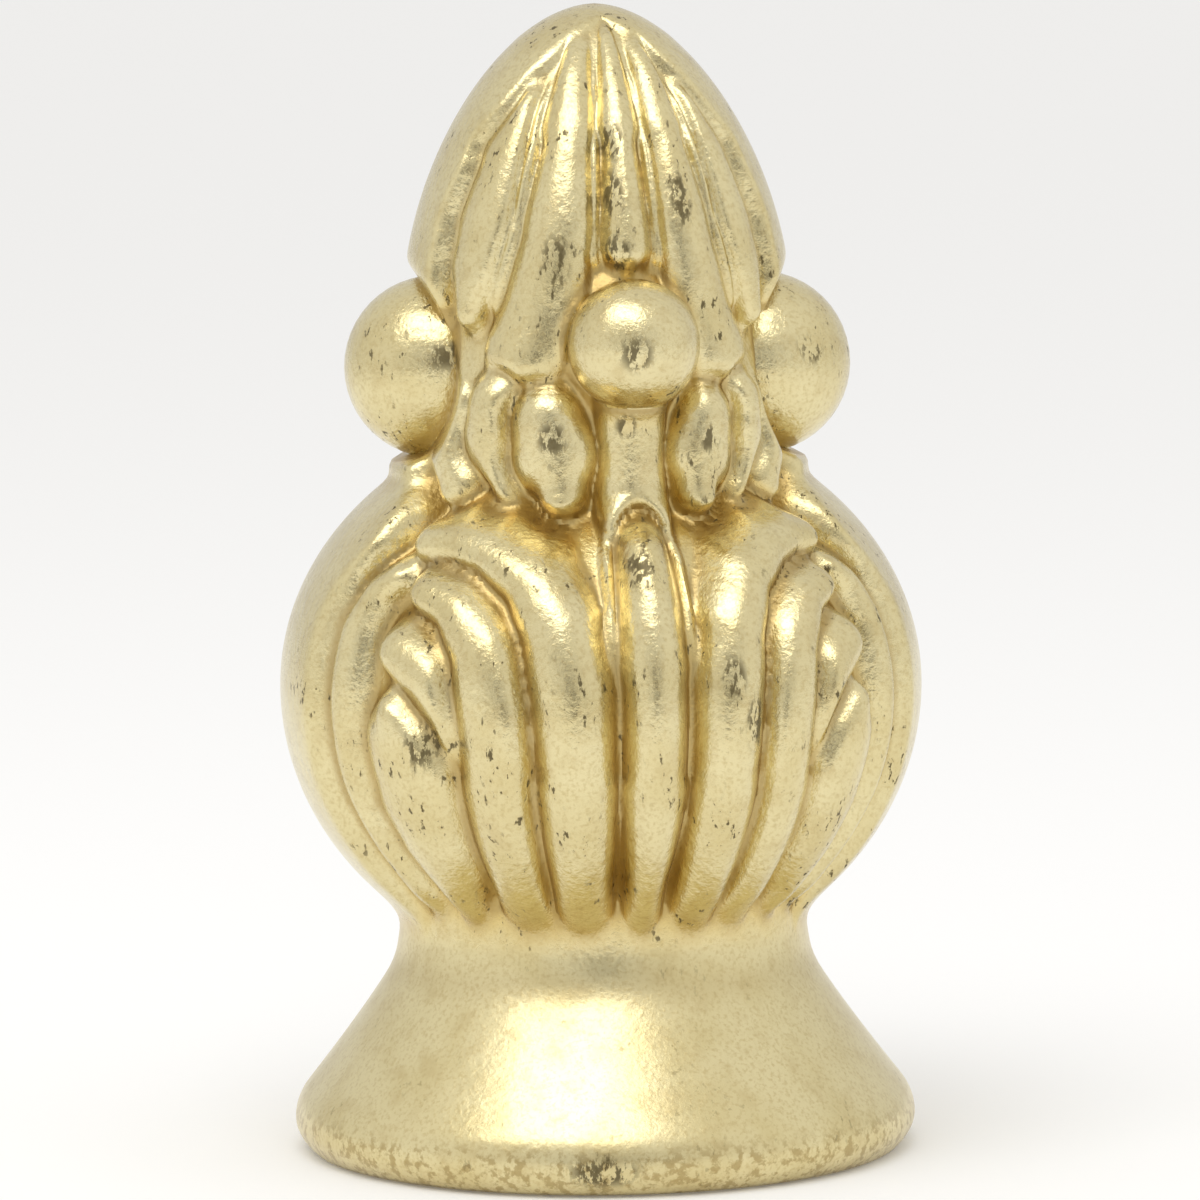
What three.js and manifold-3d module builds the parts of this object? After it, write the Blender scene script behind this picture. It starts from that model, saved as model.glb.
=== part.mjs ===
// Lamp finial: one casting, a flared foot, a ribbed globe, a waist with petals,
// two balls and two larger bosses, and a pointed dome.  It is a turned form with
// one carved panel in front and one behind, each with a ball, and plain bands at
// the sides, which carry the bosses.  A blind socket in the underside takes the stud.
// Millimetres, +Z up, origin at the middle of the underside, front towards -Y.
import * as THREE from 'three';
import { mergeVertices } from 'three/addons/utils/BufferGeometryUtils.js';
import Module from 'manifold-3d';

const wasm = await Module();
wasm.setup();

// Driving sizes, in millimetres
const height = 43.4;
const footDiameter = 23.7;
const soleDiameter = 22.5;
const shoulderDiameter = 23;
const rimHeight = 2.2;
const rimSwell = 1.1;
const neckDiameter = 15.5;
const globeDiameter = 24.4;
const waistDiameter = 15.9;
const domeDiameter = 14.6;
const ballDiameter = 4.9;
const ballSeatDiameter = 14.7;
const bossDiameter = 6.9;
const bossSeatDiameter = 12.3;
const sideWidth = 11.2;
const globeCarvingDepth = 1.35;
const waistCarvingDepth = 1.2;
const domeCarvingDepth = 1.1;
const socketDiameter = 6.4;
const socketDepth = 9.0;
const socketChamfer = 0.5;

// Angle by which the axis through the side bosses leans off square, in degrees
const sideLean = 7;

// How the drawn-in sides widen above and below the bosses, per millimetre
const sideHollowing = 0.1;

// Levels of the form, in percent of the height
const percent = height / 100;
const neckLevel = 17.4;
const globeLevel = 40.6;
const globeRise = 24;
const globeFall = 25.4;
const waistTopLevel = 67.7;
const domeLevel = 75.4;
const frontBallLevel = 71.4;
const bossLevel = 68.6;
const waistLevel = 61;

// Curve of the foot's flare: 1 for a cone, higher for a hollower flare
const flareCurve = 1.13;

// Shape of the dome: fuller sides with a higher power, blunter tip with a lower one
const domeFullness = 1.6;
const tipRoundness = 0.55;

// Carved strokes of the right half of a panel.  A path runs through points given as
// [azimuth, level, half width], in degrees from the panel's middle and in percent of
// the height.  The rise is a share of the carving's depth; sides 2 makes a thin ridge.
const strokes = [
  // Inner hoop of the globe
  { rise: 0.8, path: [[52, 52.6, 1.7], [58, 50.9, 1.8], [61, 47.6, 2.1], [61.5, 40.5, 2.1],
    [61, 34.3, 2.1], [59, 28.1, 2.1], [57.5, 24, 1.8]] },
  // Drop-shaped leaf of the globe
  { rise: 0.95, path: [[48, 40.8, 2.1], [47, 37.9, 4.3], [45, 32.2, 4.9], [44.5, 28.1, 4],
    [44.5, 23.5, 1.7]] },
  // Second rib, forked at its top
  { rise: 0.9, path: [[29.5, 35.3, 2.8], [36, 41.3, 2.9], [42, 44.1, 2.7], [48.5, 45.9, 2.4]] },
  { rise: 0.95, path: [[28.5, 24.6, 3.3], [27.2, 34.3, 3.8], [28.2, 40.5, 3.6], [32, 46.6, 2.9],
    [38, 50.1, 2.5], [45, 51.1, 2.2]] },
  // First rib, bent outwards at its top like a finger
  { rise: 1, path: [[15, 24, 2.9], [14.6, 34.3, 3.2], [15.5, 42.5, 3.3], [18, 48.7, 3.3],
    [23.4, 53.2, 3.3], [33, 55.7, 3], [42, 56.5, 2.7], [50, 55.9, 2.4]] },
  // Middle rib of the globe
  { rise: 1, path: [[0, 54.6, 2.6], [0, 44.6, 2.7], [0, 34.3, 2.7], [-1, 23.3, 2.4]] },
  // Stem under the front ball
  { rise: 1, path: [[0, 67.2, 3.2], [0, 61, 3], [0, 56.9, 3.3]] },
  // Leaf of the dome
  { rise: 0.9, path: [[41, 92.3, 0.8], [44.5, 87.7, 2.6], [47, 81.5, 3.4], [49, 77.9, 3.3],
    [51, 73.8, 1.4]] },
  // Thin ridge between the leaf and the wide rib
  { rise: 0.6, sides: 2, path: [[34, 91.8, 0.6], [35, 82.5, 0.7], [42, 74.3, 0.7]] },
  // Wide rib of the dome, which spreads as it comes down to the petals
  { rise: 1, path: [[22, 95.7, 1.4], [21, 89.7, 2], [22, 81.5, 2.9], [26, 75.4, 3.4], [32, 70.8, 3.6]] },
  // Spike of the dome, over the front ball
  { rise: 1, path: [[0, 97.1, 1.1], [-0.5, 89.7, 1.6], [-0.5, 79.7, 2.2]] },
  // Three petals
  { rise: 0.85, path: [[57.5, 65.7, 2.5], [58, 63.3, 3.2], [53, 59.6, 2.4]] },
  { rise: 0.92, path: [[40, 66.1, 2.8], [39.5, 63.5, 3.4], [35, 59.3, 2.1]] },
  { rise: 1, path: [[25, 64.9, 3], [23.2, 62, 3.6], [20.5, 58.5, 2.3]] },
];

// How much wider than its table a stroke is at the floor of the carving
const strokeSpread = 1.12;

// Edge of the panel as [azimuth, level], from the neck to the top of the dome, and
// the width over which the band rounds off to it, in percent of the height, through
// one point that stands at these shares of the way across and out
const panelEdge = [[63, 19.9], [66, 32.2], [66, 44.6], [63.5, 51.2], [60, 54.3], [60, 56.9],
  [66, 59.5], [69, 65.1], [64, 71.3], [61, 78.4], [57.5, 84.1], [52.5, 88.2], [43, 93.3], [25, 97.1]];
const panelEdgeRounding = 1.3;
const edgeAcross = 0.25;
const edgeOut = 0.67;

// Body under the strokes: columns in a quarter turn, the lowest level and the share of
// its width that hides it in the foot, and the rows as [level, how many up to it]
const panelColumns = 3;
const bandColumns = 2;
const bodyBottom = 17;
const bodyTuck = 0.9;
const bodyRows = [[neckLevel, 1], [20, 1], [57.4, 8], [61.1, 1], [77.4, 5], [96.9, 5],
  [97.6, 1], [99.4, 2]];

// Sweep of a stroke: sides of its section, how deep its foot is sunk in the body in
// millimetres, the longest step along it in percent, and the angle of its round ends
const sectionSides = 4;
const strokeSink = 1.3;
const strokeStep = 8.8;
const endAngle = 60;

const footSides = 32;
const footRows = 5;
const ballSides = 14;
const bossSides = 16;
const socketSides = 20;
const socketTip = 0.8;
const overshoot = 1;
const weldDistance = 1e-4;

const radians = Math.PI / 180;

// Radius of a half ellipse about a level, with its own reach up and down
function ellipse(level, radius, middle, rise, fall) {
  const share = (level - middle) / (level > middle ? rise : fall);
  return share * share < 1 ? radius * Math.sqrt(1 - share * share) : 0;
}

// Foot: a swelling rim, widest a little above the sole, then a flare up to the neck
function footRadius(level) {
  const z = level * percent;
  const foot = footDiameter / 2;
  const neck = neckDiameter / 2;
  if (z < rimHeight) {
    const below = z < rimSwell;
    const share = (z - rimSwell) / (below ? rimSwell : rimHeight - rimSwell);
    const edge = (below ? soleDiameter : shoulderDiameter) / 2;
    return foot - (foot - edge) * share ** 2;
  }
  const share = Math.min((z - rimHeight) / (neckLevel * percent - rimHeight), 1);
  return neck + (shoulderDiameter / 2 - neck) * (1 - share) ** flareCurve;
}

// Dome: between a cone and a half ellipse, with a round tip
function domeRadius(level, base) {
  const share = THREE.MathUtils.clamp((level - domeLevel) / (100 - domeLevel), 0, 1);
  return base * (1 - share ** domeFullness) ** tipRoundness;
}

// Waist: straight, then drawn in to the dome
function waistRadius(level, radius, base) {
  const share = THREE.MathUtils.smoothstep(level, waistTopLevel, domeLevel);
  return THREE.MathUtils.lerp(radius, base, share);
}

// Turned form at a level: its outer skin, or the floor that the carving reaches
function turnedRadius(level, carved) {
  const cut = carved ? 1 : 0;
  const globe = ellipse(level, globeDiameter / 2 - cut * globeCarvingDepth, globeLevel,
    globeRise - cut * globeCarvingDepth / percent, globeFall - cut * globeCarvingDepth / percent);
  const base = domeDiameter / 2 - cut * domeCarvingDepth;
  if (level > globeLevel) {
    const waist = waistDiameter / 2 - cut * waistCarvingDepth;
    const upper = level > domeLevel ? domeRadius(level, base) : waistRadius(level, waist, base);
    return Math.max(globe, upper);
  }
  return Math.max(globe, footRadius(level));
}

// Where a broken line of [azimuth, level] points stands at a level
function lineAt(line, level) {
  let index = line.findIndex((point) => point[1] >= level);
  if (index < 0) index = line.length - 1;
  if (index === 0) return line[0][0];
  const [before, after] = [line[index - 1], line[index]];
  const share = Math.min((level - before[1]) / (after[1] - before[1]), 1);
  return before[0] + share * (after[0] - before[0]);
}

// Radius of the drawn-in side that a boss stands in, without end at the panel's middle
function sideRadius(azimuth, level) {
  const away = (level - bossLevel) * percent;
  return (sideWidth / 2 + sideHollowing * away ** 2) / Math.sin(azimuth * radians);
}

// Place at an azimuth, level and radius, with the sides leaned off square
function placeAt(azimuth, level, radius) {
  const turn = (azimuth - sideLean * Math.sin(azimuth * radians) ** 2) * radians;
  return new THREE.Vector3(radius * Math.sin(turn), -radius * Math.cos(turn), level * percent);
}

// Columns of the body in a quarter turn at a level, as azimuth and radius: the floor
// of the carving inside the panel, the full form of the band outside it
function quarterColumns(level) {
  const full = turnedRadius(level, false);
  const floor = level > panelEdge.at(-1)[1] ? full : turnedRadius(level, true);
  const edge = lineAt(panelEdge, level);
  const rounding = panelEdgeRounding * percent / full / radians;
  const columns = [];
  for (let i = 0; i <= panelColumns; i += 1) columns.push([edge * i / panelColumns, floor]);
  columns.push([edge + rounding * edgeAcross, THREE.MathUtils.lerp(floor, full, edgeOut)]);
  for (let i = 0; i < bandColumns; i += 1) {
    const start = edge + rounding;
    columns.push([start + (90 - start) * i / bandColumns, full]);
  }
  columns.push([90, full]);
  if (level < waistLevel) return columns;
  return columns.map(([azimuth, radius]) => [azimuth, Math.min(radius, sideRadius(azimuth, level))]);
}

// Ring of the body at a level, all the way round; the lowest is tucked into the foot
function bodyRing(level) {
  const share = level > bodyBottom ? 1 : bodyTuck;
  const quarter = quarterColumns(level);
  const mirrored = quarter.slice(1, -1).reverse().map(([azimuth, radius]) => [180 - azimuth, radius]);
  const half = [...quarter, ...mirrored];
  const back = half.map(([azimuth, radius]) => [azimuth + 180, radius]);
  return [...half, ...back].map(([azimuth, radius]) => placeAt(azimuth, level, radius * share));
}

// A closed skin over rings of equally many points, with a fan to a middle at each end;
// the rings run anticlockwise when seen from the end that they climb to
function ringSkin(rings, firstMiddle, lastMiddle) {
  const count = rings[0].length;
  const index = [];
  for (let ring = 1; ring < rings.length; ring += 1) {
    for (let i = 0; i < count; i += 1) {
      const [a, b] = [(ring - 1) * count + i, (ring - 1) * count + (i + 1) % count];
      index.push(a, b, b + count, a, b + count, a + count);
    }
  }
  const points = [...rings.flat(), firstMiddle, lastMiddle];
  const last = (rings.length - 1) * count;
  for (let i = 0; i < count; i += 1) {
    const next = (i + 1) % count;
    index.push(points.length - 2, next, i);
    index.push(points.length - 1, last + i, last + next);
  }
  const geometry = new THREE.BufferGeometry().setFromPoints(points);
  return geometry.setIndex(index);
}

// Body: globe, waist and dome cut down to the carving's floor, with the plain bands
function bodyForm() {
  const levels = [bodyBottom];
  for (const [end, rows] of bodyRows) {
    const start = levels.at(-1);
    for (let i = 1; i <= rows; i += 1) levels.push(start + (end - start) * i / rows);
  }
  const middle = (level) => new THREE.Vector3(0, 0, level * percent);
  return ringSkin(levels.map(bodyRing), middle(bodyBottom), middle(100));
}

// Foot: the turned rim and flare, closed inside the neck
function footForm() {
  const halfway = (rimSwell + rimHeight) / 2;
  const levels = [0, rimSwell / 2, rimSwell, halfway, rimHeight].map((z) => z / percent);
  for (let i = 1; i <= footRows; i += 1) {
    levels.push(rimHeight / percent + (neckLevel - rimHeight / percent) * i / footRows);
  }
  const profile = levels.map((level) => new THREE.Vector2(footRadius(level), level * percent));
  const foot = [new THREE.Vector2(0, 0), ...profile, new THREE.Vector2(0, neckLevel * percent)];
  return new THREE.LatheGeometry(foot, footSides).rotateX(Math.PI / 2);
}

// Direction in which the full form faces at an azimuth and level
function facing(azimuth, level) {
  const slope = (turnedRadius(level + 1, false) - turnedRadius(level - 1, false)) / (2 * percent);
  const outward = placeAt(azimuth, 0, 1).setZ(-slope);
  return outward.normalize();
}

// Stations along a stroke as [azimuth, level, half width, share of the full section],
// in even steps on its path, with one more at each end that rounds it off
function strokeStations(path) {
  const curve = new THREE.CatmullRomCurve3(path.map((point) => new THREE.Vector3(...point)));
  const arcAt = (level) => radians * turnedRadius(level, false) / percent;
  const flat = path.map(([azimuth, level]) => [azimuth * arcAt(level), level]);
  let length = 0;
  for (let i = 1; i < flat.length; i += 1) {
    length += Math.hypot(flat[i][0] - flat[i - 1][0], flat[i][1] - flat[i - 1][1]);
  }
  const steps = Math.max(Math.ceil(length / strokeStep), 2);
  const stations = curve.getPoints(steps).map((point) => [...point.toArray(), 1]);
  const roundEnd = ([azimuth, level, width], inner) => {
    const arc = arcAt(level);
    const [across, up] = [(azimuth - inner[0]) * arc, level - inner[1]];
    const reach = width * Math.sin(endAngle * radians) / Math.hypot(across, up);
    return [azimuth + across * reach / arc, level + up * reach, width, Math.cos(endAngle * radians)];
  };
  const [first, second] = stations;
  return [roundEnd(first, second), ...stations, roundEnd(stations.at(-1), stations.at(-2))];
}

// A stroke as a solid: a half ellipse swept over the floor of the carving, with its
// foot sunk in the body.  The side is 1 or -1 for the right or left half of the
// panel, and turn is 180 at the back.
function strokeForm(stroke, side, turn) {
  const stations = strokeStations(stroke.path).map(([azimuth, level, width, share]) => {
    const [full, floor] = [turnedRadius(level, false), turnedRadius(level, true)];
    const out = facing(side * azimuth + turn, level);
    const depth = (full - floor) * Math.hypot(out.x, out.y);
    const crest = placeAt(side * azimuth + turn, level, full);
    const middle = crest.addScaledVector(out, -depth);
    const size = { width: width * percent * strokeSpread * share, rise: depth * stroke.rise * share };
    return { middle, out, ...size };
  });
  const sides = stroke.sides ?? sectionSides;
  const rings = stations.map(({ middle, out, width, rise }, i) => {
    const before = stations[Math.max(i - 1, 0)];
    const after = stations[Math.min(i + 1, stations.length - 1)];
    const along = after.middle.clone().sub(before.middle).normalize();
    const across = along.cross(out).normalize();
    const pointAt = (sideways, outwards) => middle.clone()
      .addScaledVector(across, sideways).addScaledVector(out, outwards);
    const ring = [pointAt(-width, -strokeSink)];
    for (let j = 0; j <= sides; j += 1) {
      const angle = Math.PI * j / sides;
      ring.push(pointAt(-width * Math.cos(angle), rise * Math.sin(angle)));
    }
    ring.push(pointAt(width, -strokeSink));
    return ring;
  });
  return ringSkin(rings, stations[0].middle, stations.at(-1).middle);
}

// A ball sunk in the waist, with its middle on the seat circle
function ballForm(azimuth, level, diameter, seatDiameter, sides) {
  const ball = new THREE.SphereGeometry(diameter / 2, sides, sides / 2);
  const middle = placeAt(azimuth, level, seatDiameter / 2);
  return ball.rotateX(Math.PI / 2).translate(middle.x, middle.y, middle.z);
}

// Socket for the stud: a blind bore with a chamfered mouth
function socketForm() {
  const bore = socketDiameter / 2;
  const profile = [
    new THREE.Vector2(0, -overshoot),
    new THREE.Vector2(bore + socketChamfer + overshoot, -overshoot),
    new THREE.Vector2(bore, socketChamfer),
    new THREE.Vector2(bore, socketDepth),
    new THREE.Vector2(0, socketDepth + socketTip),
  ];
  return new THREE.LatheGeometry(profile, socketSides).rotateX(Math.PI / 2);
}

// A three.js geometry as a solid that can be cut
function solidOf(geometry) {
  const bare = geometry.clone();
  bare.deleteAttribute('normal');
  bare.deleteAttribute('uv');
  const merged = mergeVertices(bare, weldDistance);
  return new wasm.Manifold(new wasm.Mesh({
    numProp: 3,
    vertProperties: new Float32Array(merged.attributes.position.array),
    triVerts: new Uint32Array(merged.index.array),
  }));
}

// A cut solid as a three.js geometry
function geometryOf(solid) {
  const mesh = solid.getMesh();
  const geometry = new THREE.BufferGeometry();
  geometry.setAttribute('position', new THREE.BufferAttribute(mesh.vertProperties, 3));
  geometry.setIndex(new THREE.BufferAttribute(mesh.triVerts, 1));
  geometry.computeVertexNormals();
  return geometry;
}

const gilding = new THREE.MeshStandardMaterial({ color: 0xd9c48c, roughness: 0.3, metalness: 1 });

let solid = solidOf(bodyForm()).add(solidOf(footForm()));
for (const turn of [0, 180]) {
  for (const stroke of strokes) {
    const sides = stroke.path[0][0] === 0 ? [1] : [1, -1];
    for (const side of sides) solid = solid.add(solidOf(strokeForm(stroke, side, turn)));
  }
  const ball = ballForm(turn, frontBallLevel, ballDiameter, ballSeatDiameter, ballSides);
  const boss = ballForm(turn + 90, bossLevel, bossDiameter, bossSeatDiameter, bossSides);
  solid = solid.add(solidOf(ball)).add(solidOf(boss));
}
solid = solid.subtract(solidOf(socketForm()));

const finial = new THREE.Mesh(geometryOf(solid), gilding);
finial.name = 'finial';

const part = new THREE.Group();
part.add(finial);

export default part;
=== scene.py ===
# Lamp finial, gilt: the casting's full carving, its gold finish, the floor,
# the light and the camera.  Metres, same frame as the CAD.
import math

import bpy
import numpy as np
from mathutils import Matrix, Vector


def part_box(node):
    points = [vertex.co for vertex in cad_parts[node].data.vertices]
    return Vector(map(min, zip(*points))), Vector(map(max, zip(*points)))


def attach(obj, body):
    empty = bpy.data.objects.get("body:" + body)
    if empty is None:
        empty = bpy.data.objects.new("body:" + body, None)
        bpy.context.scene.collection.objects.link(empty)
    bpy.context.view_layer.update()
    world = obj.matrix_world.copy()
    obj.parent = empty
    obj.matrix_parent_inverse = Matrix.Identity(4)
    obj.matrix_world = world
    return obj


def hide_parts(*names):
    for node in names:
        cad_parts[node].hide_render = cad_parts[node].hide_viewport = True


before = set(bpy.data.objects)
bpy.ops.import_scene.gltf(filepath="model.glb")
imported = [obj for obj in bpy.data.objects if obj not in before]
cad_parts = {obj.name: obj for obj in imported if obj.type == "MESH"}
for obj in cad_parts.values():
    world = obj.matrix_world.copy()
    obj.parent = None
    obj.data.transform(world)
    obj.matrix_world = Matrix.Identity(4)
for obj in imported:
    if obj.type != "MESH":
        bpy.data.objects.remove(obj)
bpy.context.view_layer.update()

# Sizes, in metres; the height comes from the frame
MM = 0.001
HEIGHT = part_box("finial")[1][2]
PERCENT = HEIGHT / 100
FOOT_RADIUS = 11.85 * MM
SOLE_RADIUS = 11.25 * MM
SHOULDER_RADIUS = 11.5 * MM
RIM_HEIGHT = 2.2 * MM
RIM_SWELL = 1.1 * MM
NECK_RADIUS = 7.75 * MM
NECK_FILLET = 0.9 * MM
FLARE_FILLET = 0.6 * MM
GLOBE_RADIUS = 12.2 * MM
WAIST_RADIUS = 7.95 * MM
DOME_RADIUS = 7.3 * MM
BALL_RADIUS = 2.45 * MM
BALL_SEAT = 7.35 * MM
BALL_COLLAR = 0.4 * MM
COLLAR_SHARE = 0.2
BOSS_RADIUS = 3.45 * MM
BOSS_SEAT = 6.15 * MM
SIDE_FLAT = 5.6 * MM
SIDE_HOLLOWING = 0.1 / MM
LEAST_SIDEWAYS = 0.5
GLOBE_CARVING = 1.35 * MM
WAIST_CARVING = 1.2 * MM
DOME_CARVING = 1.1 * MM
SOCKET_RADIUS = 3.2 * MM
SOCKET_DEPTH = 9.0 * MM
SOCKET_CHAMFER = 0.5 * MM
THREAD_PITCH = 25.4 / 27 * MM
THREAD_DEPTH = 0.5 * MM
# How steep the thread's flanks are, and how flat its crests
THREAD_FLANK = 1.3
THREAD_CREST = 0.15
# Heights that count as the same, and vertices that count as touching
SAME_HEIGHT = 0.01 * MM
TOUCHING = 0.001 * MM

# Levels of the form, in percent of the height
NECK_LEVEL = 17.4
GLOBE_LEVEL = 40.6
GLOBE_RISE = 24
GLOBE_FALL = 25.4
WAIST_TOP_LEVEL = 67.7
DOME_LEVEL = 75.4
FRONT_BALL_LEVEL = 71.4
BOSS_LEVEL = 68.6
WAIST_LEVEL = 61
# The turned foot and neck, which stay plain, end here
PLAIN_TOP = NECK_LEVEL + 1

# Curves of the foot's flare and of the dome
FLARE_CURVE = 1.13
DOME_FULLNESS = 1.6
TIP_ROUNDNESS = 0.55
STROKE_FULLNESS = 0.6
SIDE_LEAN = math.radians(7)
SMOOTH_ANGLE = math.radians(50)

# Carved strokes of the right half of a panel, each laid over the ones before: how
# far it rises to the full form, then its points as (azimuth in degrees, level, half
# width in percent)
STROKES = [
    # Inner hoop of the globe
    (0.8, [(52, 52.6, 1.7), (58, 50.9, 1.8), (61, 47.6, 2.1), (61.5, 40.5, 2.1),
           (61, 34.3, 2.1), (59, 28.1, 2.1), (57.5, 24, 1.8)]),
    # Drop-shaped leaf of the globe
    (0.95, [(48, 40.8, 2.1), (47, 37.9, 4.3), (45, 32.2, 4.9), (44.5, 28.1, 4), (44.5, 23.5, 1.7)]),
    # Second rib, forked at its top
    (0.9, [(29.5, 35.3, 2.8), (36, 41.3, 2.9), (42, 44.1, 2.7), (48.5, 45.9, 2.4)]),
    (0.95, [(28.5, 24.6, 3.3), (27.2, 34.3, 3.8), (28.2, 40.5, 3.6), (32, 46.6, 2.9),
            (38, 50.1, 2.5), (45, 51.1, 2.2)]),
    # Thin ridge in the groove beside the middle rib
    (0.35, [(9.5, 61, 0.4), (8.5, 52.8, 0.45), (7.9, 44.6, 0.45), (7.5, 34.3, 0.4)]),
    # First rib, bent outwards at its top like a finger
    (1.0, [(15, 24, 2.9), (14.6, 34.3, 3.2), (15.5, 42.5, 3.3), (18, 48.4, 3.2),
           (23.4, 52.5, 3), (33, 54.8, 2.7), (42, 55.6, 2.5), (49, 55.2, 2.2)]),
    # Stem under the front ball
    (0.95, [(0, 67.2, 3.2), (0, 61, 3), (0, 57.5, 3.3)]),
    # Middle rib of the globe
    (1.0, [(0, 54.6, 2.6), (0, 44.6, 2.7), (0, 34.3, 2.7), (-1, 23.3, 2.4)]),
    # Leaf of the dome
    (0.9, [(41, 92.3, 0.8), (44.5, 87.7, 2.6), (47, 81.5, 3.4), (49, 77.9, 3.3), (51, 73.8, 1.4)]),
    # Thin ridge between the leaf and the wide rib
    (0.6, [(34, 91.8, 0.6), (35, 82.5, 0.7), (42, 74.3, 0.7)]),
    # Wide rib of the dome, which spreads as it comes down to the petals
    (1.0, [(22, 95.7, 1.4), (21, 89.7, 2), (22, 81.5, 2.9), (26, 75.4, 3.4), (32, 70.8, 3.6)]),
    # Thin ridge in the groove beside the spike
    (0.35, [(10.5, 93.8, 0.3), (10.5, 78.4, 0.35)]),
    # Spike of the dome, over the front ball
    (1.0, [(0, 97.1, 1.1), (-0.5, 89.7, 1.6), (-0.5, 79.7, 2.2)]),
    # Three petals
    (0.85, [(57.5, 65.7, 2.5), (58, 63.3, 3.2), (53, 59.6, 2.4)]),
    (0.92, [(40, 66.1, 2.8), (39.5, 63.5, 3.4), (35, 59.7, 2)]),
    (1.0, [(25, 64.9, 3), (23.2, 62, 3.6), (20.5, 59, 2.1)]),
]
# Floor of the crease that each stroke keeps round itself, its outer edge, and how
# much wider than its table a stroke is at the floor
CREASE_FLOOR = 0.35
CREASE_EDGE = 1.22
STROKE_SPREAD = 1.12

# Edge of the panel as (azimuth, level), from the neck to the top of the dome
PANEL_EDGE = [(63, 19.9), (66, 32.2), (66, 44.6), (63.5, 51.2), (60, 54.3), (60, 56.9),
              (66, 59.5), (69, 65.1), (64, 71.3), (61, 78.4), (57.5, 84.1), (52.5, 88.2), (43, 93.3),
              (25, 97.1), (0, 98.8)]
PANEL_EDGE_ROUNDING = 1.3

# Places where the gilding is rubbed through to the dark metal, as (azimuth, level, reach
# across and up in percent); the ones on the front ball's middle, the two side bosses and
# the front of the rim are painted dark reflections of the camera
RUBBED_AND_REFLECTION_PLACES = [(-4, 88.6, 1.1, 1.8), (-4.5, 84, 0.9, 2.2), (-4, 79.2, 1.1, 1.6),
               (-23, 78.5, 1.3, 2.4), (18, 83.5, 0.9, 2.6), (-2, 71, 1.5, 1.5),
               (-67, 70, 1.1, 1.3), (63, 70, 1.1, 1.3), (-23, 63.5, 1.3, 1.5), (-3, 64.6, 0.9, 1),
               (21, 63.4, 1, 1.2), (13.5, 44, 1.1, 1.8), (17.5, 40, 1, 2.4), (-45, 38, 1.4, 2),
               (-2, 53, 1.1, 1.8), (-11, 2.2, 3, 1.3)]

# Grid of the carved skin; a plain cylinder is cut into this many squares
FRONT_COLUMNS = 122
BACK_COLUMNS = 78
COLUMNS = 2 * (FRONT_COLUMNS + BACK_COLUMNS)
ROW_CUTS = 14
ROWS = (ROW_CUTS + 1) ** 2
# How closely the rows lie, as (level, rows per percent before evening out)
ROW_DENSITY = [(0, 1.6), (3.5, 1.2), (5.6, 0.5), (17.9, 0.6), (21, 1.0), (56.9, 1.0),
               (58.9, 1.1), (79.5, 1.1), (81.5, 0.9), (96.9, 0.9), (98.5, 2.0), (100, 5)]
# Azimuths of the columns: share of a quarter turn, and where it lies
PANEL_SHARE = 0.82
PANEL_REACH = 65
# Softening of the carving, in cells of the grid, and points taken in each cell
SOFTENING = 1.05
FINE_POINTS = [-0.375, -0.125, 0.125, 0.375]
# How far round a point its neighbours tell a hollow or a crease, in cells
HOLLOW_CELLS = 5
CREASE_CELLS = 1.8
BALL_SEGMENTS = 48
SOCKET_COLUMNS = 40
SOCKET_CUTS = (7, 6)


def ellipse(level, radius, middle, rise, fall):
    """Radius of a half ellipse about a level, with its own reach up and down."""
    share = (level - middle) / np.where(level > middle, rise, fall)
    return radius * np.sqrt(np.clip(1 - share ** 2, 0, 1))


def filleted(first, second, reach):
    """The larger of two radii, eased over where they are nearly the same."""
    share = np.clip(1 - np.abs(first - second) / reach, 0, 1)
    return np.maximum(first, second) + share ** 2 * reach / 4


def foot_radius(level):
    """Swelling rim, widest a little above the sole, then a flare up to the neck."""
    z = level * PERCENT
    below = z < RIM_SWELL
    share = (z - RIM_SWELL) / np.where(below, RIM_SWELL, RIM_HEIGHT - RIM_SWELL)
    edge = np.where(below, SOLE_RADIUS, SHOULDER_RADIUS)
    rim = FOOT_RADIUS - (FOOT_RADIUS - edge) * share ** 2
    share = 1 - np.maximum((z - RIM_HEIGHT) / (NECK_LEVEL * PERCENT - RIM_HEIGHT), 0)
    cone = (SHOULDER_RADIUS - NECK_RADIUS) * np.sign(share) * np.abs(share) ** FLARE_CURVE
    flare = filleted(NECK_RADIUS + cone, NECK_RADIUS, FLARE_FILLET)
    return np.where(z < RIM_HEIGHT, rim, flare)


def turned_radius(level, carved):
    """Radius of the turned form: its outer skin, or the floor of the carving."""
    cut = 1.0 if carved else 0.0
    depth = cut * GLOBE_CARVING
    globe = ellipse(level, GLOBE_RADIUS - depth, GLOBE_LEVEL,
                    GLOBE_RISE - depth / PERCENT, GLOBE_FALL - depth / PERCENT)
    base = DOME_RADIUS - cut * DOME_CARVING
    waist = WAIST_RADIUS - cut * WAIST_CARVING
    ease = np.clip((level - WAIST_TOP_LEVEL) / (DOME_LEVEL - WAIST_TOP_LEVEL), 0, 1)
    ease = ease * ease * (3 - 2 * ease)
    rise = np.clip((level - DOME_LEVEL) / (100 - DOME_LEVEL), 0, 1)
    dome = base * np.clip(1 - rise ** DOME_FULLNESS, 0, 1) ** TIP_ROUNDNESS
    upper = np.where(level > DOME_LEVEL, dome, waist + (base - waist) * ease)
    below = filleted(globe, foot_radius(level), NECK_FILLET)
    return np.where(level > GLOBE_LEVEL, np.maximum(globe, upper), below)


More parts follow.
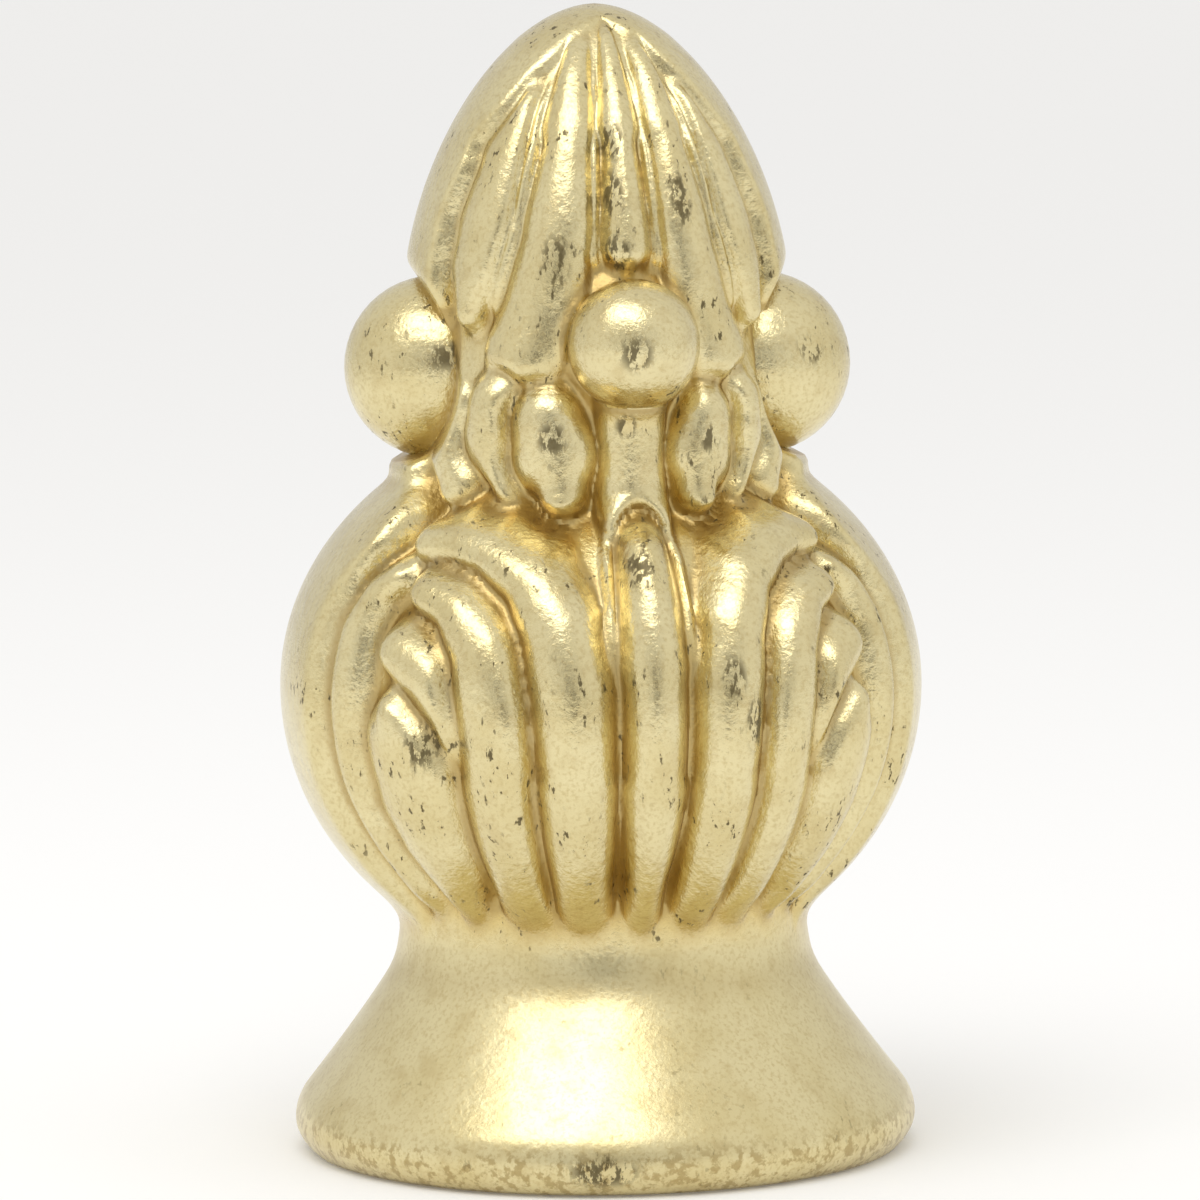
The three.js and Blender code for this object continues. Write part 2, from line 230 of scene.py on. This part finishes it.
def stroke_reach(path, azimuth, level):
    """Distance of each point from a stroke's middle line, over the stroke's half width."""
    nearest = np.full_like(level, np.inf)
    for (azimuth_a, level_a, width_a), (azimuth_b, level_b, width_b) in zip(path, path[1:]):
        arc = math.radians(turned_radius(np.array((level_a + level_b) / 2), False)) / PERCENT
        run = ((azimuth_b - azimuth_a) * arc, level_b - level_a)
        reach = ((azimuth - azimuth_a) * arc, level - level_a)
        share = (reach[0] * run[0] + reach[1] * run[1]) / (run[0] ** 2 + run[1] ** 2)
        share = np.clip(share, 0, 1)
        away = np.hypot(reach[0] - share * run[0], reach[1] - share * run[1])
        nearest = np.minimum(nearest, away / (width_a + share * (width_b - width_a)))
    return nearest / STROKE_SPREAD


def band_cover(azimuth, level):
    """Cover of the plain band outside the panel, with a rounded edge."""
    arc = np.radians(turned_radius(level, False)) / PERCENT
    edge = np.interp(level, [point[1] for point in PANEL_EDGE], [point[0] for point in PANEL_EDGE])
    inside = np.clip((azimuth - edge) * arc / PANEL_EDGE_ROUNDING, 0, 1)
    return np.where(level > PANEL_EDGE[-1][1], 1, np.sqrt(1 - (1 - inside) ** 2))


def ball_offset(azimuth, level, middle_azimuth, middle_level, seat):
    """Distance of each point from a ball's middle line, seen along that line."""
    across = seat * np.sin(np.radians(azimuth - middle_azimuth))
    return np.hypot(across, (level - middle_level) * PERCENT)


def ball_cover(away, radius, seat):
    """Radius of a ball's outside, or 0 beside it."""
    height = np.sqrt(np.maximum(radius ** 2 - away ** 2, 0))
    return np.where(away < radius, seat + height, 0)


def side_hollow(azimuth, level):
    """Radius of the slightly hollowed side that each side boss stands in."""
    away = (level - BOSS_LEVEL) * PERCENT
    sideways = np.maximum(np.sin(np.radians(azimuth)), LEAST_SIDEWAYS)
    return (SIDE_FLAT + SIDE_HOLLOWING * away ** 2) / sideways


def fold(azimuth):
    """Azimuth within the half panel that is mirrored and repeated at the back."""
    turn = np.abs((azimuth + 180) % 360 - 180)
    return np.where(turn > 90, 180 - turn, turn)


def carved_radius(azimuth, level):
    """Radius of the whole carved form; azimuth 0 is the middle of the front panel."""
    folded = fold(azimuth)
    cover = band_cover(folded, level)
    for rise, path in STROKES:
        reach = stroke_reach(path, folded, level)
        crease = np.clip((reach - 1) / (CREASE_EDGE - 1), 0, 1)
        cover = cover * (CREASE_FLOOR + (1 - CREASE_FLOOR) * crease)
        cover = np.maximum(cover, rise * np.clip(1 - reach ** 2, 0, 1) ** STROKE_FULLNESS)
    floor = turned_radius(level, True)
    radius = floor + (turned_radius(level, False) - floor) * cover
    upper = level > WAIST_LEVEL
    radius = np.where(upper, np.minimum(radius, side_hollow(folded, level)), radius)
    away = ball_offset(folded, level, 0, FRONT_BALL_LEVEL, BALL_SEAT)
    return radius + BALL_COLLAR * np.clip(1 - (away / BALL_RADIUS - 1) / COLLAR_SHARE, 0, 1) ** 2


def with_balls(radius, azimuth, level):
    """The carved form's radius with the two balls and two bosses laid over it."""
    folded = fold(azimuth)
    front = ball_offset(folded, level, 0, FRONT_BALL_LEVEL, BALL_SEAT)
    side = ball_offset(folded, level, 90, BOSS_LEVEL, BOSS_SEAT)
    radius = np.maximum(radius, ball_cover(front, BALL_RADIUS, BALL_SEAT))
    return np.maximum(radius, ball_cover(side, BOSS_RADIUS, BOSS_SEAT))


def soften(field, cells):
    """Evens a field out over its near neighbours, round the axis and up and down."""
    reach = int(math.ceil(3 * cells))
    weights = np.exp(-0.5 * (np.arange(-reach, reach + 1) / cells) ** 2)
    weights /= weights.sum()
    round_axis = sum(w * np.roll(field, k, axis=1) for k, w in zip(range(-reach, reach + 1), weights))
    padded = np.pad(round_axis, ((reach, reach), (0, 0)), mode="edge")
    return sum(w * padded[k:k + field.shape[0]] for k, w in enumerate(weights))


def quarter_azimuths(columns):
    """Azimuths of a quarter's columns in degrees: close in the panel, wider in the band."""
    part = np.arange(columns) / columns
    inside = part / PANEL_SHARE * PANEL_REACH
    outside = PANEL_REACH + (part - PANEL_SHARE) / (1 - PANEL_SHARE) * (90 - PANEL_REACH)
    return np.where(part < PANEL_SHARE, inside, outside)


def column_azimuths():
    """Azimuths of all the columns, from the front ball round to it again."""
    front, back = quarter_azimuths(FRONT_COLUMNS), quarter_azimuths(BACK_COLUMNS)
    mirrored = [180 - np.append(back[1:], 90)[::-1], 180 + back]
    return np.concatenate([front, mirrored[0], mirrored[1], 360 - np.append(front[1:], 90)[::-1]])


def even_radius(column, row):
    """Carved radius at places of the grid, each the mean of a few points in its cell."""
    azimuths = np.append(column_azimuths(), 360)
    levels = row_levels()
    total = 0
    for shift_across in FINE_POINTS:
        for shift_up in FINE_POINTS:
            azimuth = np.interp((column + shift_across) % COLUMNS, np.arange(COLUMNS + 1), azimuths)
            level = np.interp(row + shift_up, np.arange(ROWS + 1), levels)
            total = total + carved_radius(azimuth, level)
    return total / len(FINE_POINTS) ** 2


def row_levels():
    """Levels of the rows, from the underside to just under the tip."""
    fine = np.linspace(0, 100, 4000)
    density = np.interp(fine, [d[0] for d in ROW_DENSITY], [d[1] for d in ROW_DENSITY])
    count = np.concatenate([[0], np.cumsum((density[1:] + density[:-1]) / 2)])
    return np.interp(np.linspace(0, count[-1], ROWS + 1), count, fine)


def select_only(obj):
    """Deselects everything, then selects this object and makes it the active one."""
    bpy.ops.object.select_all(action="DESELECT")
    obj.select_set(True)
    bpy.context.view_layer.objects.active = obj


def vertex_places(obj):
    """Places of a piece's vertices, one row each."""
    places = np.empty(len(obj.data.vertices) * 3)
    obj.data.vertices.foreach_get("co", places)
    return places.reshape(-1, 3)


def select_parts(obj, vertices=None, edges=None):
    """In edit mode, with only these vertices or these edges of a piece selected."""
    bpy.ops.object.mode_set(mode="EDIT")
    bpy.ops.mesh.select_mode(type="VERT" if edges is None else "EDGE")
    bpy.ops.mesh.select_all(action="DESELECT")
    bpy.ops.object.mode_set(mode="OBJECT")
    if edges is None:
        obj.data.vertices.foreach_set("select", vertices)
    else:
        obj.data.edges.foreach_set("select", edges)
    bpy.ops.object.mode_set(mode="EDIT")


def gridded_tube(name, radius, length, columns, cuts):
    """An open cylinder standing on the floor, its long edges cut twice into rows."""
    bpy.ops.object.select_all(action="DESELECT")
    bpy.ops.mesh.primitive_cylinder_add(vertices=columns, radius=radius, depth=length,
                                        end_fill_type="NOTHING", location=(0, 0, length / 2))
    tube = bpy.context.object
    tube.name = name
    bpy.ops.object.transform_apply(location=True, rotation=True, scale=True)
    for cut in cuts:
        heights = vertex_places(tube)[:, 2]
        ends = np.empty(len(tube.data.edges) * 2, dtype=int)
        tube.data.edges.foreach_get("vertices", ends)
        upright = np.abs(heights[ends[0::2]] - heights[ends[1::2]]) > SAME_HEIGHT
        select_parts(tube, edges=upright)
        bpy.ops.mesh.subdivide(number_cuts=cut)
        bpy.ops.object.mode_set(mode="OBJECT")
    return tube


def grid_places(tube, length, columns, rows):
    """Column and row number of each vertex of a gridded tube."""
    places = vertex_places(tube)
    angle = np.degrees(np.arctan2(places[:, 0], -places[:, 1])) % 360
    column = np.rint(angle / 360 * columns).astype(int) % columns
    return column, np.rint(places[:, 2] / length * rows).astype(int)


def move_vertices(obj, places):
    """Moves every vertex of a piece, as a carver's tools move its surface."""
    obj.data.vertices.foreach_set("co", places.ravel())
    obj.data.update()


def keep_share(obj, name, values):
    """Keeps one number for each vertex, which the gilding reads by its name."""
    attribute = obj.data.attributes.new(name, "FLOAT", "POINT")
    attribute.data.foreach_set("value", values.astype(np.float32))


def mark_rubbing_and_reflection(obj):
    """Marks how far each vertex lies in one of the rubbed places, some of which are painted camera
    reflections.
    """
    places = vertex_places(obj)
    azimuth = np.degrees(np.arctan2(places[:, 0], -places[:, 1]))
    arc = np.radians(np.hypot(places[:, 0], places[:, 1])) / PERCENT
    share = np.zeros(len(places))
    for middle, level, across, up in RUBBED_AND_REFLECTION_PLACES:
        away = np.hypot((azimuth - middle) * arc / across, (places[:, 2] / PERCENT - level) / up)
        share = np.maximum(share, np.clip(1.6 - away, 0, 1))
    keep_share(obj, "wear_and_reflection", share)


def close_ring(obj, height):
    """Gathers the ring of vertices at a height into one point on the axis."""
    select_only(obj)
    select_parts(obj, vertices=np.abs(vertex_places(obj)[:, 2] - height) < TOUCHING)
    bpy.ops.mesh.merge(type="CENTER")
    bpy.ops.object.mode_set(mode="OBJECT")


def carved_skin():
    """The outside of the casting without its balls, open at the underside."""
    skin = gridded_tube("finial_gilt", GLOBE_RADIUS, HEIGHT, COLUMNS, (ROW_CUTS, ROW_CUTS))
    column, row = grid_places(skin, HEIGHT, COLUMNS, ROWS)
    azimuth, level = np.meshgrid(column_azimuths(), row_levels())
    radius = even_radius(*np.meshgrid(np.arange(COLUMNS), np.arange(ROWS + 1)))
    softened = soften(radius, SOFTENING)
    plain = level[:, 0] < PLAIN_TOP
    softened[plain] = carved_radius(azimuth, level)[plain]
    turn = np.radians(azimuth) - SIDE_LEAN * np.sin(np.radians(azimuth)) ** 2
    places = np.stack([softened * np.sin(turn), -softened * np.cos(turn), level * PERCENT], axis=-1)
    move_vertices(skin, places[row, column])
    balled = with_balls(softened, azimuth, level)
    # Depth of each point below its neighbours, from which the gilding paints shade and bounce light
    # into the hollows and shade into the creases
    for name, cells in (("hollow", HOLLOW_CELLS), ("crease", CREASE_CELLS)):
        depth = soften(soften(balled, cells) - softened, SOFTENING) / MM
        keep_share(skin, name, depth[row, column])
    close_ring(skin, HEIGHT)
    return skin


def threaded_socket():
    """The wall and end of the blind socket, with its thread."""
    rows = (SOCKET_CUTS[0] + 1) * (SOCKET_CUTS[1] + 1)
    wall = gridded_tube("socket", SOCKET_RADIUS, SOCKET_DEPTH, SOCKET_COLUMNS, SOCKET_CUTS)
    column, row = grid_places(wall, SOCKET_DEPTH, SOCKET_COLUMNS, rows)
    turn = column / SOCKET_COLUMNS
    height = row / rows * SOCKET_DEPTH
    crest = np.abs(((height / THREAD_PITCH - turn) % 1) * 2 - 1)
    mouth = np.clip((height - SOCKET_CHAMFER) / THREAD_PITCH, 0, 1)
    end = np.clip((SOCKET_DEPTH - height) / THREAD_PITCH, 0, 1)
    thread = THREAD_DEPTH * np.clip(THREAD_FLANK * crest - THREAD_CREST, 0, 1) * mouth * end
    radius = SOCKET_RADIUS - thread + np.clip(SOCKET_CHAMFER - height, 0, SOCKET_CHAMFER)
    angle = 2 * math.pi * turn
    move_vertices(wall, np.stack([radius * np.sin(angle), -radius * np.cos(angle), height], axis=-1))
    close_ring(wall, SOCKET_DEPTH)
    return wall


def underside(socket):
    """Bridges the socket's mouth to the foot's lowest edge; gives the flat underside."""
    bpy.ops.object.select_all(action="DESELECT")
    bpy.ops.mesh.primitive_circle_add(vertices=COLUMNS, radius=GLOBE_RADIUS)
    rim = bpy.context.object
    column, _ = grid_places(rim, HEIGHT, COLUMNS, ROWS)
    azimuth = np.radians(column_azimuths()[column])
    turn = azimuth - SIDE_LEAN * np.sin(azimuth) ** 2
    edge = SOLE_RADIUS * np.stack([np.sin(turn), -np.cos(turn), np.zeros(COLUMNS)], axis=-1)
    move_vertices(rim, edge)
    socket.select_set(True)
    bpy.context.view_layer.objects.active = rim
    bpy.ops.object.join()
    select_parts(rim, vertices=np.abs(vertex_places(rim)[:, 2]) < TOUCHING)
    bpy.ops.mesh.bridge_edge_loops()
    bpy.ops.object.mode_set(mode="OBJECT")
    return rim


def add_ball(skin, azimuth, level, radius, seat):
    """Makes a ball and casts it on the skin, half sunk in it."""
    bpy.ops.object.select_all(action="DESELECT")
    turn = math.radians(azimuth)
    turn -= SIDE_LEAN * math.sin(turn) ** 2
    place = (seat * math.sin(turn), -seat * math.cos(turn), level * PERCENT)
    bpy.ops.mesh.primitive_uv_sphere_add(segments=BALL_SEGMENTS, ring_count=BALL_SEGMENTS // 2,
                                         radius=radius, location=place)
    ball = bpy.context.object
    select_only(skin)
    bpy.ops.object.modifier_add(type="BOOLEAN")
    union = skin.modifiers[-1]
    union.operation = "UNION"
    union.solver = "MANIFOLD"
    union.object = ball
    bpy.ops.object.modifier_apply(modifier=union.name)
    select_only(ball)
    bpy.ops.object.delete()


def gilt_finial():
    """The whole casting: carved skin, closed tip, flat underside, socket and balls."""
    skin = carved_skin()
    base = underside(threaded_socket())
    base.select_set(True)
    skin.select_set(True)
    bpy.context.view_layer.objects.active = skin
    bpy.ops.object.join()
    select_parts(skin, vertices=np.abs(vertex_places(skin)[:, 2]) < TOUCHING)
    bpy.ops.mesh.remove_doubles(threshold=TOUCHING)
    bpy.ops.mesh.select_all(action="SELECT")
    bpy.ops.mesh.normals_make_consistent(inside=False)
    bpy.ops.object.mode_set(mode="OBJECT")
    for azimuth in (0, 180):
        add_ball(skin, azimuth, FRONT_BALL_LEVEL, BALL_RADIUS, BALL_SEAT)
    for azimuth in (90, 270):
        add_ball(skin, azimuth, BOSS_LEVEL, BOSS_RADIUS, BOSS_SEAT)
    mark_rubbing_and_reflection(skin)
    select_only(skin)
    bpy.ops.object.shade_smooth_by_angle(angle=SMOOTH_ANGLE)
    return skin


class Field:
    """A socket of a shader that Python's operators act on; each adds its Math node."""

    def __init__(self, tree, socket):
        self.tree = tree
        self.socket = socket

    def math(self, operation, *values):
        node = self.tree.nodes.new("ShaderNodeMath")
        node.operation = operation
        for slot, value in zip(node.inputs, values):
            put(self.tree, slot, value)
        return Field(self.tree, node.outputs[0])

    def __add__(self, other):
        return self.math("ADD", self, other)

    def __radd__(self, other):
        return self.math("ADD", other, self)

    def __sub__(self, other):
        return self.math("SUBTRACT", self, other)

    def __rsub__(self, other):
        return self.math("SUBTRACT", other, self)

    def __mul__(self, other):
        return self.math("MULTIPLY", self, other)

    def __rmul__(self, other):
        return self.math("MULTIPLY", other, self)

    def step(self, low, high):
        """0 up to low, 1 from high on, and smooth between."""
        node = self.tree.nodes.new("ShaderNodeMapRange")
        node.interpolation_type = "SMOOTHSTEP"
        put(self.tree, node.inputs["Value"], self)
        for name, value in (("From Min", low), ("From Max", high), ("To Min", 0), ("To Max", 1)):
            put(self.tree, node.inputs[name], value)
        return Field(self.tree, node.outputs["Result"])


def put(tree, slot, value):
    """Links a field to a slot, or sets the slot to a plain value."""
    if isinstance(value, Field):
        tree.links.new(value.socket, slot)
    else:
        slot.default_value = value


class Recipe:
    """A node tree being written: a material's or the world's."""

    def __init__(self, tree):
        self.tree = tree
        tree.nodes.clear()

    def node(self, kind, settings=(), inputs=(), output=0):
        """Adds a node: its settings first, then its inputs; gives one output as a field."""
        made = self.tree.nodes.new(kind)
        for name, value in dict(settings).items():
            setattr(made, name, value)
        for name, value in dict(inputs).items():
            put(self.tree, made.inputs[name], value)
        return Field(self.tree, made.outputs[output]) if made.outputs else made

    def mix(self, share, first, second):
        """A colour between two, by a share."""
        inputs = {0: share, 6: first, 7: second}
        return self.node("ShaderNodeMix", {"data_type": "RGBA"}, inputs, 2)


# Colours of the gilding, from fresh leaf to the metal under it; two of them are painted shade for the
# hollows and creases, and the darkest one also paints dark reflections of the camera
PALE_LEAF = (0.77, 0.675, 0.385, 1)
WARM_LEAF = (0.70, 0.595, 0.31, 1)
GRAINED_LEAF = (0.56, 0.44, 0.20, 1)
MOTTLED_LEAF = (0.58, 0.46, 0.22, 1)
# Painted shade and bounce light of the hollows
HOLLOW_SHADE_GOLD = (0.68, 0.49, 0.15, 1)
# Painted shade of the creases
CREASE_SHADE_BROWN = (0.34, 0.22, 0.07, 1)
RIM_BROWN = (0.40, 0.29, 0.11, 1)
# Dark metal of flecks and wear, also the colour of the painted dark camera reflections
DARK_METAL_AND_REFLECTION = (0.10, 0.075, 0.03, 1)
# Heights over which the rim's wear fades out, and the carving's finish fades in
RIM_FADE = (2.1 * MM, 1.2 * MM)
CARVING_FADE = (8.0 * MM, 9.5 * MM)
BUMP_DEPTH = 0.12 * MM


def gilding():
    """Pale gold leaf over a casting: painted shade and bounce light make it warmer in the grooves and
    brown in the creases; flecked, rubbed through in places, and with painted dark camera reflections.
    """
    material = bpy.data.materials.new("gilding")
    material.use_nodes = True
    made = Recipe(material.node_tree)
    place = made.node("ShaderNodeTexCoord", output="Object")
    hollow = made.node("ShaderNodeAttribute", {"attribute_name": "hollow"}, output="Fac")
    crease = made.node("ShaderNodeAttribute", {"attribute_name": "crease"}, output="Fac")
    # Share of wear, and of painted dark camera reflection, marked on the vertices
    wear_and_reflection = made.node("ShaderNodeAttribute", {"attribute_name": "wear_and_reflection"}, output="Fac")
    up = made.node("ShaderNodeSeparateXYZ", {}, {"Vector": place}, "Z")

    def noise(scale, detail=3.0, rough=0.5):
        inputs = {"Vector": place, "Scale": scale, "Detail": detail, "Roughness": rough}
        return made.node("ShaderNodeTexNoise", {}, inputs, "Fac")

    cloud = noise(350)
    leaf = noise(1100)
    crinkle = noise(2600, 4, 0.6)
    grain = noise(6000, 4, 0.6)
    stretched = made.node("ShaderNodeVectorMath", {"operation": "MULTIPLY"},
                          {0: place, 1: (1, 1, 0.45)}, "Vector")
    fleck = made.node("ShaderNodeTexNoise", {}, {
        "Vector": stretched, "Scale": 3600.0, "Detail": 4.0, "Roughness": 0.65}, "Fac")
    carved = up.step(*CARVING_FADE)
    tone = made.mix(cloud.step(0.35, 0.7), PALE_LEAF, WARM_LEAF)
    tone = made.mix(grain.step(0.45, 0.7) * 0.55, tone, GRAINED_LEAF)
    tone = made.mix(leaf.step(0.5, 0.75) * 0.4, tone, MOTTLED_LEAF)
    # Painted shade and bounce light: the hollows of the carving turn a darker, warmer gold
    tone = made.mix(hollow.step(0.05, 0.45) * carved * 0.65, tone, HOLLOW_SHADE_GOLD)
    # Painted shade: the narrow creases turn brown
    crease_shade = crease.step(0.025, 0.12) * 0.55
    tone = made.mix(crease_shade, tone, CREASE_SHADE_BROWN)
    rim = up.step(*RIM_FADE)
    tone = made.mix(rim * crinkle.step(0.48, 0.6) * 0.7, tone, RIM_BROWN)
    # Dark flecks of dirt and wear, and at some marked places painted dark reflections of the camera
    dirt_and_reflection = (fleck.step(0.58, 0.66) * cloud.step(0.46, 0.62) * (0.4 + 0.6 * carved)
            + wear_and_reflection.step(0.1, 1.3) * fleck.step(0.46, 0.53)).step(0, 1) * 0.9
    tone = made.mix(dirt_and_reflection, tone, DARK_METAL_AND_REFLECTION)
    roughness = 0.26 - 0.10 * carved + 0.10 * leaf + 0.3 * dirt_and_reflection + 0.25 * crease_shade
    height = (0.6 * leaf + 0.6 * crinkle + 0.3 * grain) * (0.5 + 0.5 * carved)
    normal = made.node("ShaderNodeBump", {}, {
        "Strength": 0.5, "Distance": BUMP_DEPTH, "Height": height})
    shader = made.node("ShaderNodeBsdfPrincipled", {}, {
        "Base Color": tone, "Metallic": 1.0, "Roughness": roughness, "Normal": normal,
        "Coat Weight": 0.25, "Coat Roughness": 0.2})
    made.node("ShaderNodeOutputMaterial", {}, {"Surface": shader})
    return material


FLOOR_SIZE = 8.0
FLOOR_GAP = 0.1 * MM


def floor():
    """A plain pale floor under the finial."""
    bpy.ops.object.select_all(action="DESELECT")
    bpy.ops.mesh.primitive_plane_add(size=FLOOR_SIZE, location=(0, 0, -FLOOR_GAP))
    plane = bpy.context.object
    plane.name = "floor"
    material = bpy.data.materials.new("pale_floor")
    material.use_nodes = True
    made = Recipe(material.node_tree)
    shader = made.node("ShaderNodeBsdfPrincipled", {}, {
        "Base Color": (0.9, 0.9, 0.9, 1), "Roughness": 0.9, "Specular IOR Level": 0.1,
        "Emission Color": (1, 1, 1, 1), "Emission Strength": 0.1})
    made.node("ShaderNodeOutputMaterial", {}, {"Surface": shader})
    plane.data.materials.append(material)


# Camera: turned so that the front ball stands to the right of the middle
VIEW_AZIMUTH = math.radians(10.5)
CAMERA_DISTANCE = 0.260
CAMERA_HEIGHT = 0.04885
CAMERA_PLACE = Vector((-CAMERA_DISTANCE * math.sin(VIEW_AZIMUTH),
                       -CAMERA_DISTANCE * math.cos(VIEW_AZIMUTH), CAMERA_HEIGHT))
AIM = Vector((0, 0, 20.78 * MM))
ROLL = math.radians(0.6)
VIEW_WIDTH = 45.63 * MM


def camera():
    """The photo's camera, a little above the finial and slightly rolled."""
    sight = AIM - CAMERA_PLACE
    data = bpy.data.cameras.new("camera")
    data.lens = data.sensor_width * sight.length / VIEW_WIDTH
    data.clip_start = 0.01
    eye = bpy.data.objects.new("camera", data)
    bpy.context.scene.collection.objects.link(eye)
    turn = sight.to_track_quat("-Z", "Y").to_matrix() @ Matrix.Rotation(-ROLL, 3, "Z")
    eye.matrix_world = Matrix.Translation(CAMERA_PLACE) @ turn.to_4x4()
    bpy.context.scene.camera = eye


def area_light(name, azimuth, elevation, distance, size, power):
    """A softbox that looks at the finial; azimuth 0 is in front, positive to the right."""
    data = bpy.data.lights.new(name, "AREA")
    data.shape = "RECTANGLE"
    data.size, data.size_y = size
    data.energy = power
    azimuth, elevation = math.radians(azimuth), math.radians(elevation)
    away = Vector((math.sin(azimuth) * math.cos(elevation), -math.cos(azimuth) * math.cos(elevation),
                   math.sin(elevation)))
    lamp = bpy.data.objects.new(name, data)
    lamp.location = AIM + away * distance
    lamp.rotation_euler = (-away).to_track_quat("-Z", "Y").to_euler()
    bpy.context.scene.collection.objects.link(lamp)


# The tent's brightness, what it loses behind the finial and round the camera, and the
# angles from the camera between which its dark opening ends
TENT_STRENGTH = 0.90
LOSS_BEHIND = 0.15
LOSS_BEFORE = 0.2
OPENING_DARKNESS = 0.97
OPENING_EDGE = (math.radians(11), math.radians(6))


def studio():
    """A bright tent with a darker opening round the camera, and one wide softbox above."""
    world = bpy.data.worlds.new("studio")
    bpy.context.scene.world = world
    world.use_nodes = True
    made = Recipe(world.node_tree)
    way = made.node("ShaderNodeTexCoord", output="Generated")
    front = (CAMERA_PLACE - AIM).normalized()
    near = made.node("ShaderNodeVectorMath", {"operation": "DOT_PRODUCT"}, {0: way, 1: front}, "Value")
    opening = near.step(math.cos(OPENING_EDGE[0]), math.cos(OPENING_EDGE[1]))
    behind = near.step(0.25, -0.9)
    before = near.step(0.6, 1)
    strength = TENT_STRENGTH - LOSS_BEHIND * behind - LOSS_BEFORE * before
    strength = strength * (1 - OPENING_DARKNESS * opening)
    light = made.node("ShaderNodeBackground", {}, {"Color": (1, 0.99, 0.97, 1), "Strength": strength})
    made.node("ShaderNodeOutputWorld", {}, {"Surface": light})
    area_light("softbox", azimuth=-32, elevation=59, distance=0.30, size=(0.26, 0.16), power=0.29)


finial = gilt_finial()
finial.data.materials.clear()
finial.data.materials.append(gilding())
finial.data.polygons.foreach_set("material_index", [0] * len(finial.data.polygons))
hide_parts("finial")
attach(finial, "root")

floor()
camera()
studio()
bpy.context.scene.view_settings.view_transform = "Standard"
